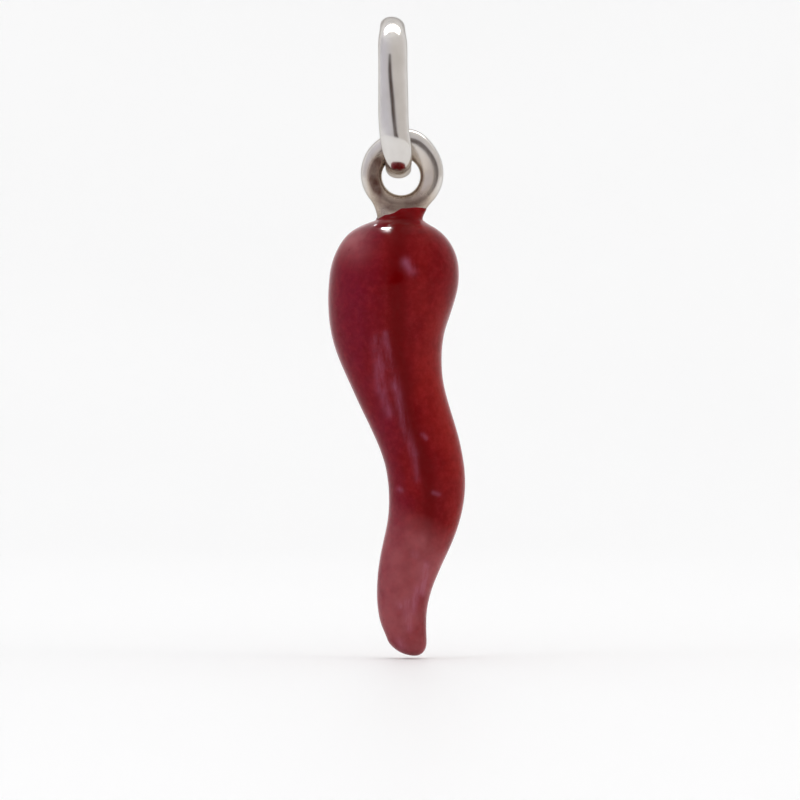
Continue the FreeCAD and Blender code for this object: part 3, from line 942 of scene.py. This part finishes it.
def pale_backdrop(colours):
    """The floor and the wall in one: a profile turned about the upright axis. The profile is flat from
    the middle, rises in a quarter oval and ends in an upright wall."""
    flat = np.linspace(0, FLOOR_RADIUS, 25)[1:]
    rise = np.linspace(0, TURN / 4, 60)[1:]
    out = np.concatenate([flat, FLOOR_RADIUS + (WALL_RADIUS - FLOOR_RADIUS) * np.sin(rise)])
    up = np.concatenate([flat * 0, WALL_HEIGHT * (1 - np.cos(rise))]) - FLOOR_DROP
    radius, around = sheet_of(out, 128)
    height = np.broadcast_to(up[:, None], radius.shape)
    points = np.stack([radius * np.cos(around), radius * np.sin(around), height], axis=-1)
    index = np.arange(radius.size).reshape(radius.shape)
    following = np.roll(index, -1, axis=1)
    quads = np.stack([index[:-1], index[1:], following[1:], following[:-1]], axis=-1).reshape(-1, 4)
    faces = quads.tolist() + [index[0].tolist()]
    return new_object("pale_backdrop", points.reshape(-1, 3), faces, matte_pale_card(colours))


# The screen in front, seen only as a reflection: how far off it stands and its lower and upper edge in
# mm, and how far round it goes each way from straight ahead and where it starts to turn pale, in degrees.
# A flat canopy as wide lies on its upper edge.
SCREEN_RADIUS = 240.0
SCREEN_HEIGHTS = (-40.0, 330.0)
SCREEN_SPAN = 120.0
SCREEN_PALING = 58.0
# Half the width of the dark gap in the screen, the gap's middle to the right, and its soft edge, in degrees
GAP_HALF = 11.5
GAP_MIDDLE = 5.0
GAP_EDGE = 4.5
# The gap's share of that width at heights in mm, which narrows upwards; the height at which the gap has faded
# away, and over how many mm it does
GAP_HEIGHTS = (-20, 12, 18, 26)
GAP_SHARES = (0.85, 1.0, 0.6, 0.4)
GAP_TOP = 38
GAP_FADE = 14
# How white the upper edge and the canopy are, the height in mm from which the screen turns white, and the
# power with which it does
CANOPY_WHITE = 0.6
WHITE_FROM = 90
WHITE_POWER = 1.5


def front_screen(colours):
    """A grey cloth screen bent round the camera's side, a part of an upright cylinder, and a round canopy
    over it. The screen's tone goes from the dark gap behind the camera through grey to white at both
    ends, and the canopy is pale grey."""
    heights = np.linspace(*SCREEN_HEIGHTS, 296)
    turns = np.radians(np.linspace(-SCREEN_SPAN, SCREEN_SPAN, 241))
    height, turn = np.meshgrid(heights, turns, indexing="ij")
    points = np.stack([SCREEN_RADIUS * np.sin(turn), -SCREEN_RADIUS * np.cos(turn), height], axis=-1)
    index = np.arange(height.size).reshape(height.shape)
    quads = np.stack([index[:-1, :-1], index[:-1, 1:], index[1:, 1:], index[1:, :-1]], axis=-1)
    rim = np.linspace(0, TURN, 96, endpoint=False)
    top = np.full_like(rim, SCREEN_HEIGHTS[1])
    canopy = np.column_stack([SCREEN_RADIUS * np.cos(rim), SCREEN_RADIUS * np.sin(rim), top])
    corners = np.vstack([points.reshape(-1, 3), canopy])
    faces = quads.reshape(-1, 4).tolist() + [list(range(len(corners) - 1, index.size - 1, -1))]
    screen = new_object("front_screen", corners, faces, grey_screen_cloth(colours), smooth=False)
    screen.visible_camera = False
    screen.visible_diffuse = False
    screen.visible_shadow = False
    degrees = np.degrees(turn.reshape(-1))
    height = height.reshape(-1)
    half = GAP_HALF * np.interp(height, GAP_HEIGHTS, GAP_SHARES)
    gap = 1 / (1 + np.exp((np.abs(degrees - GAP_MIDDLE) - half) / GAP_EDGE * 4))
    gap = gap * np.clip((GAP_TOP - height) / GAP_FADE, 0, 1)
    aside = np.clip((np.abs(degrees) - SCREEN_PALING) / (SCREEN_SPAN - SCREEN_PALING), 0, 1)
    high = np.clip((height - WHITE_FROM) / (SCREEN_HEIGHTS[1] - WHITE_FROM), 0, 1)
    white = np.maximum(aside ** WHITE_POWER, CANOPY_WHITE * high ** WHITE_POWER)
    mark(screen, "gap", np.concatenate([gap, 0 * rim]))
    mark(screen, "white", np.concatenate([white, 0 * rim + CANOPY_WHITE]))
    return screen


# Lights: name, place (x, y, z) and target in mm, width and height in mm, turn about its own axis in
# degrees, colour, the setting that gives its watts, and the pieces it shines on where it doesn't light all.
# A light that shines on pieces shows in their polish alone, and the others don't show in any polish.
LIGHTS = (
    ("enamel_softbox", (-50, 152, 300), (0, 0, -8), 46, 285, -19.5, "ffffff", "enamel_shine",
     ("red_enamel_coat",)),
    ("silver_softbox", (30, 4, 300), (0, 0, -8), 150, 450, 0, "ffffff", "silver_shine",
     ("silver_horn_casting", "bail_link")),
    ("left_fill", (-420, -160, 60), (0, 0, -14), 260, 420, 0, "f2f4ff", "fill", ()),
    ("right_fill", (430, -120, 60), (0, 0, -14), 220, 420, 0, "fff8f2", "fill", ()),
)


def make_light(studio, name, place, target, width, height, turn, tint, watts, pieces):
    """A rectangular light that faces its target."""
    data = bpy.data.lights.new(name, "AREA")
    data.shape = "RECTANGLE"
    data.size = width * MM
    data.size_y = height * MM
    data.energy = getattr(studio, watts)
    data.color = linear(tint)[:3]
    data.spread = math.radians(130)
    lamp = bpy.data.objects.new(name, data)
    lamp.location = [c * MM for c in place]
    away = mathutils.Vector(place) - mathutils.Vector(target)
    roll = mathutils.Quaternion((0, 0, 1), math.radians(turn))
    lamp.rotation_euler = (away.to_track_quat("Z", "Y") @ roll).to_euler()
    lamp.visible_diffuse = not pieces
    lamp.visible_glossy = bool(pieces)
    if pieces:
        lit = bpy.data.collections.new(name + "_pieces")
        for piece in pieces:
            lit.objects.link(bpy.data.objects[piece])
        lamp.light_linking.receiver_collection = lit
    bpy.context.scene.collection.objects.link(lamp)


class HORN_PT_pendant(bpy.types.Panel):
    """Lists the pieces of the pendant and their sizes"""
    bl_idname = "HORN_PT_pendant"
    bl_label = "Horn pendant"
    bl_space_type = "VIEW_3D"
    bl_region_type = "UI"
    bl_category = "Horn pendant"

    def draw(self, context):
        layout = self.layout
        for operator in PIECES:
            layout.operator(operator.bl_idname)
        for name in GROUPS:
            group = getattr(context.scene, name)
            box = layout.box()
            box.label(text=group.bl_rna.name)
            for key in group.bl_rna.properties.keys():
                if key not in ("rna_type", "name"):
                    box.prop(group, key)


GROUPS = {
    "horn_casting_sizes": CastingSizes,
    "horn_enamel_sizes": EnamelSizes,
    "horn_bail_sizes": BailSizes,
    "horn_finishes": Finishes,
    "horn_studio": StudioSettings,
}
PIECES = (HORN_OT_silver_casting, HORN_OT_red_enamel, HORN_OT_bail, HORN_OT_studio)


def register():
    """Adds the properties, the operators and the panel."""
    for name, group in GROUPS.items():
        bpy.utils.register_class(group)
        setattr(bpy.types.Scene, name, PointerProperty(type=group))
    for operator in PIECES:
        bpy.utils.register_class(operator)
    bpy.utils.register_class(HORN_PT_pendant)


def unregister():
    """Takes away what register() added."""
    bpy.utils.unregister_class(HORN_PT_pendant)
    for operator in reversed(PIECES):
        bpy.utils.unregister_class(operator)
    for name, group in reversed(GROUPS.items()):
        delattr(bpy.types.Scene, name)
        bpy.utils.unregister_class(group)


def main():
    """Builds the pendant and the studio."""
    register()
    bpy.ops.horn.silver_casting()
    bpy.ops.horn.red_enamel()
    bpy.ops.horn.bail()
    bpy.ops.horn.studio()


if __name__ == "__main__":
    main()
